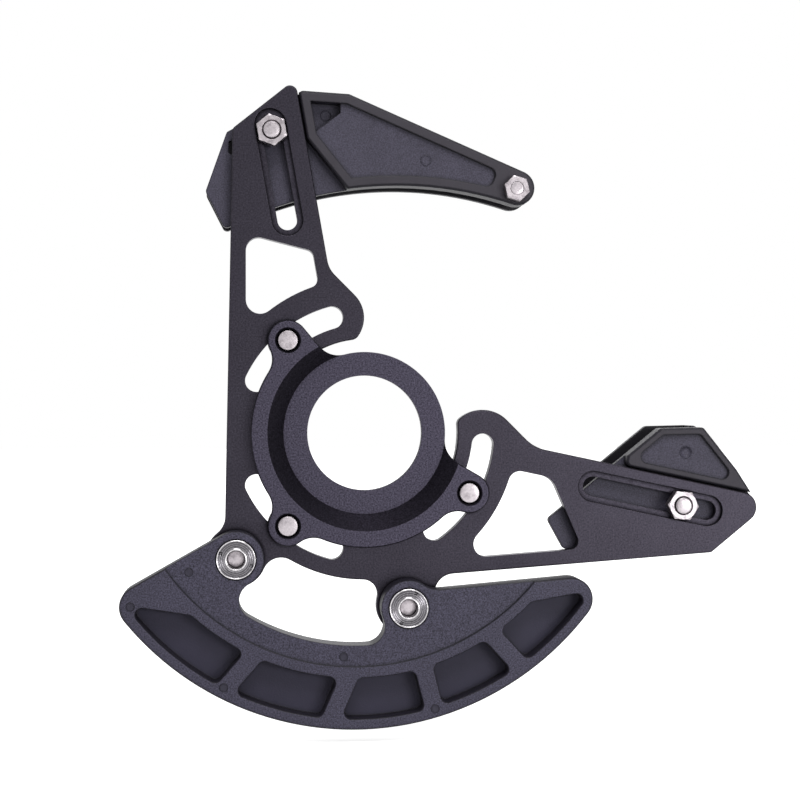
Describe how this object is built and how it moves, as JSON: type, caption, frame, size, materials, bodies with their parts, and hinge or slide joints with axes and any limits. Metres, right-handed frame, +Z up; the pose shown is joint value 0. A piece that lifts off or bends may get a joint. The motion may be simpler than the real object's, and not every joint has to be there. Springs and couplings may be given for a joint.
{
  "type": "bicycle chain guide",
  "caption": "Bicycle chain guide with a slotted backplate, a bottom-bracket clamp ring, sliding upper and lower chain guides and an arc-shaped bash guard.",
  "frame": {"origin": "on the bottom-bracket axis, in the plane of the clamp ring's and backplate's frame-side faces", "axes": "+Y along the bottom-bracket axis, away from the frame; +X to the rear of the bicycle; +Z up"},
  "size_m": [0.1963, 0.0303, 0.1946],
  "materials": {
    "adapter_anodised": "black anodised, fine bead-blasted",
    "plate_anodised": "black anodised, satin",
    "bash_moulding": "black moulded nylon, fine grain",
    "guide_moulding": "black moulded nylon, fine grain",
    "zinc_steel": "bright zinc plate",
    "nickel_steel": "nickel plate, polished"
  },
  "bodies": {
    "adapter": {"bb_adapter": "adapter_anodised", "clocking_washers": "zinc_steel", "clocking_bolts": "zinc_steel"},
    "backplate": {"backplate_hub": "plate_anodised", "backplate_upper_arm": "plate_anodised", "backplate_lower_arm": "plate_anodised", "bash_guard": "bash_moulding", "bash_nuts": "nickel_steel", "bash_bolts": "zinc_steel"},
    "upper_guide": {"upper_guide_inner": "guide_moulding", "upper_guide_outer": "guide_moulding", "upper_clamp_washer": "zinc_steel", "upper_clamp_nut": "zinc_steel", "upper_clamp_bolt": "zinc_steel", "upper_tip_spacer": "zinc_steel", "upper_tip_nut": "zinc_steel", "upper_tip_bolt": "zinc_steel"},
    "lower_guide": {"lower_guide_inner": "guide_moulding", "lower_guide_outer": "guide_moulding", "lower_clamp_washer": "zinc_steel", "lower_clamp_nut": "zinc_steel", "lower_clamp_bolt": "zinc_steel"}
  },
  "joints": [
    {"name": "clocking", "type": "hinge", "parent": "adapter", "child": "backplate", "pos_m": [0, 0, 0], "axis": [0, 1, 0], "range_deg": [-24, 24]},
    {"name": "upper_guide_slide", "type": "slide", "parent": "backplate", "child": "upper_guide", "axis": [-0.1754, 0, 0.9845], "range_m": [-0.027, 0.001]},
    {"name": "lower_guide_slide", "type": "slide", "parent": "backplate", "child": "lower_guide", "axis": [0.978, 0, -0.2088], "range_m": [-0.019, 0.008]}
  ]
}
